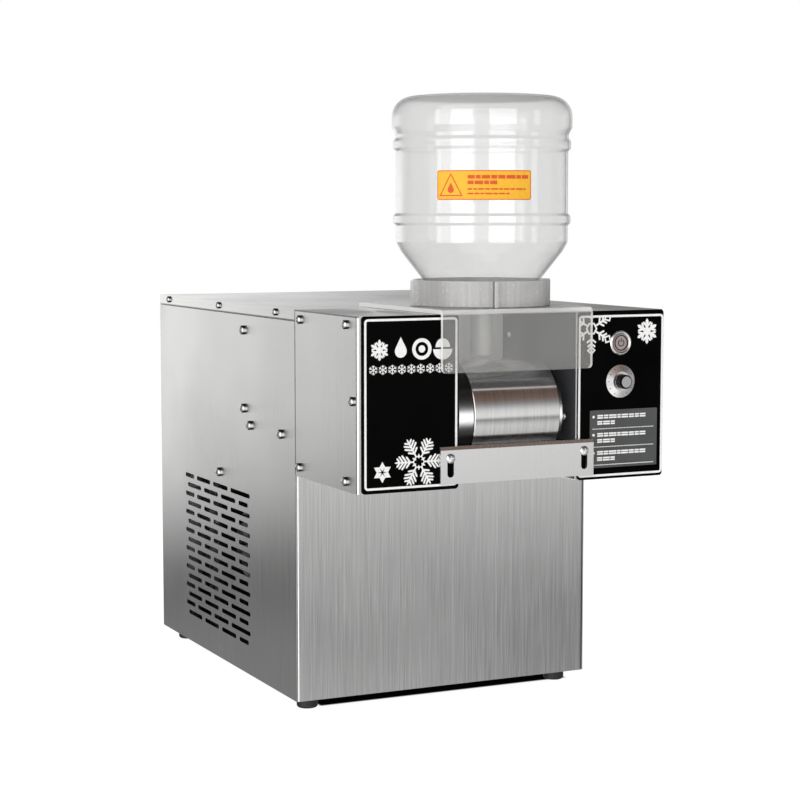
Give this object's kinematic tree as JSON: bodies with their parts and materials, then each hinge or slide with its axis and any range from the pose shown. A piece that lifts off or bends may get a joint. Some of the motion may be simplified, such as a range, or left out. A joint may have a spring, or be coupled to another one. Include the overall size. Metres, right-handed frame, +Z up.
{
  "type": "shaved ice machine",
  "caption": "Counter-top snowflake ice machine: cold steel drum between two black-fronted cheeks, fed by an upturned bottle, above a vented steel cabinet.",
  "frame": {"origin": "on the ground, under the middle of the machine's bounding box", "axes": "+Z up, front towards -Y, +X to the right seen from the front"},
  "size_m": [0.2978, 0.5108, 0.536],
  "materials": {
    "casing_steel": "fine vertical grain",
    "inner_steel": "plain zinc-coated sheet",
    "screw_steel": "bright plated",
    "drum_steel": "fine turned grain",
    "blade_steel": "ground",
    "gloss_black": "high gloss",
    "plate_grey": "satin printed",
    "foot_rubber": "matte",
    "black_plastic": "fine matte",
    "gear_nylon": "natural nylon",
    "motor_metal": "satin",
    "union_brass": "machined",
    "compressor_black": "satin black",
    "fin_aluminium": "mill finish",
    "copper_tube": "drawn tube",
    "board_green": "satin",
    "bezel_steel": "turned",
    "button_face": "satin",
    "knob_black": "satin",
    "pot_body": "satin",
    "clear_acrylic": "clear polished sheet",
    "grey_acrylic": "smoky translucent",
    "tube_clear": "clear",
    "bottle_clear": "clear, blow-moulded",
    "cap_white": "satin white",
    "print_white": "screen print, satin",
    "label_amber": "printed sticker, satin"
  },
  "bodies": {
    "cabinet": {"base_pan": "casing_steel", "inner_frame": "inner_steel", "left_side_panel": "casing_steel", "right_side_panel": "casing_steel", "front_panel": "casing_steel", "rear_panel": "casing_steel", "top_cover": "casing_steel", "head_back_plate": "casing_steel", "left_head_cover": "casing_steel", "right_head_cover": "casing_steel", "left_drum_wall": "gloss_black", "right_drum_wall": "gloss_black", "left_fascia": "gloss_black", "right_fascia": "gloss_black", "instruction_plate": "plate_grey", "foot_front_left": "foot_rubber", "foot_front_right": "foot_rubber", "foot_rear_left": "foot_rubber", "foot_rear_right": "foot_rubber", "casing_screws": "screw_steel", "head_screws": "screw_steel", "rear_screws": "screw_steel", "drum_wall_screws": "screw_steel", "left_bearing": "inner_steel", "right_bearing": "inner_steel", "gear_motor": "motor_metal", "motor_bracket": "inner_steel", "scraper_blade": "blade_steel", "blade_holder": "inner_steel", "scraper_screws": "screw_steel", "rotary_union": "union_brass", "inner_shelf": "inner_steel", "compressor": "compressor_black", "compressor_mounts": "foot_rubber", "condenser": "fin_aluminium", "fan_shroud": "black_plastic", "fan_motor": "motor_metal", "filter_drier": "copper_tube", "suction_line": "copper_tube", "discharge_line": "copper_tube", "control_board": "board_green", "button_bezel": "bezel_steel", "button_switch": "black_plastic", "potentiometer": "pot_body", "power_inlet": "black_plastic"},
    "drum": {"drum_shell": "drum_steel", "drum_left_cap": "gloss_black", "drum_right_cap": "gloss_black", "drum_shaft": "blade_steel", "drum_gear": "gear_nylon"},
    "pinion": {"motor_pinion": "blade_steel"},
    "fan": {"fan_blades": "fin_aluminium"},
    "button": {"button_cap": "button_face"},
    "knob": {"speed_knob": "knob_black"},
    "front_plate": {"scraper_plate": "casing_steel"},
    "feed_stand": {"splash_guard": "clear_acrylic", "bottle_collar": "grey_acrylic", "feed_tube": "tube_clear"},
    "bottle_set": {"bottle": "bottle_clear", "bottle_cap": "cap_white"}
  },
  "joints": [
    {"name": "drum_spin", "type": "hinge", "parent": "cabinet", "child": "drum", "pos_m": [0, -0.197, 0.269], "axis": [-1, 0, 0], "continuous": true},
    {"name": "pinion_spin", "type": "hinge", "parent": "cabinet", "child": "pinion", "pos_m": [-0.074, -0.15685, 0.269], "axis": [-1, 0, 0], "continuous": true},
    {"name": "fan_spin", "type": "hinge", "parent": "cabinet", "child": "fan", "pos_m": [-0.02, 0.18, 0.101], "axis": [0, 1, 0], "continuous": true},
    {"name": "button_press", "type": "slide", "parent": "cabinet", "child": "button", "axis": [0, 1, 0], "range_m": [0, 0.0025], "stiffness_N_per_m": 400, "springref_m": -0.0015},
    {"name": "knob_turn", "type": "hinge", "parent": "cabinet", "child": "knob", "pos_m": [0.101, -0.245, 0.2944], "axis": [0, 1, 0], "range_deg": [0, 300]},
    {"name": "plate_lift", "type": "slide", "parent": "cabinet", "child": "front_plate", "axis": [0, 0, 1], "range_m": [0, 0.012]},
    {"name": "stand_lift", "type": "slide", "parent": "cabinet", "child": "feed_stand", "axis": [0, 0, 1], "range_m": [0, 0.08]},
    {"name": "bottle_lift", "type": "slide", "parent": "feed_stand", "child": "bottle_set", "axis": [0, 0, 1], "range_m": [0, 0.1]}
  ],
  "couplings": [
    {"joint": "pinion_spin", "follows": "drum_spin", "ratio": -3}
  ]
}
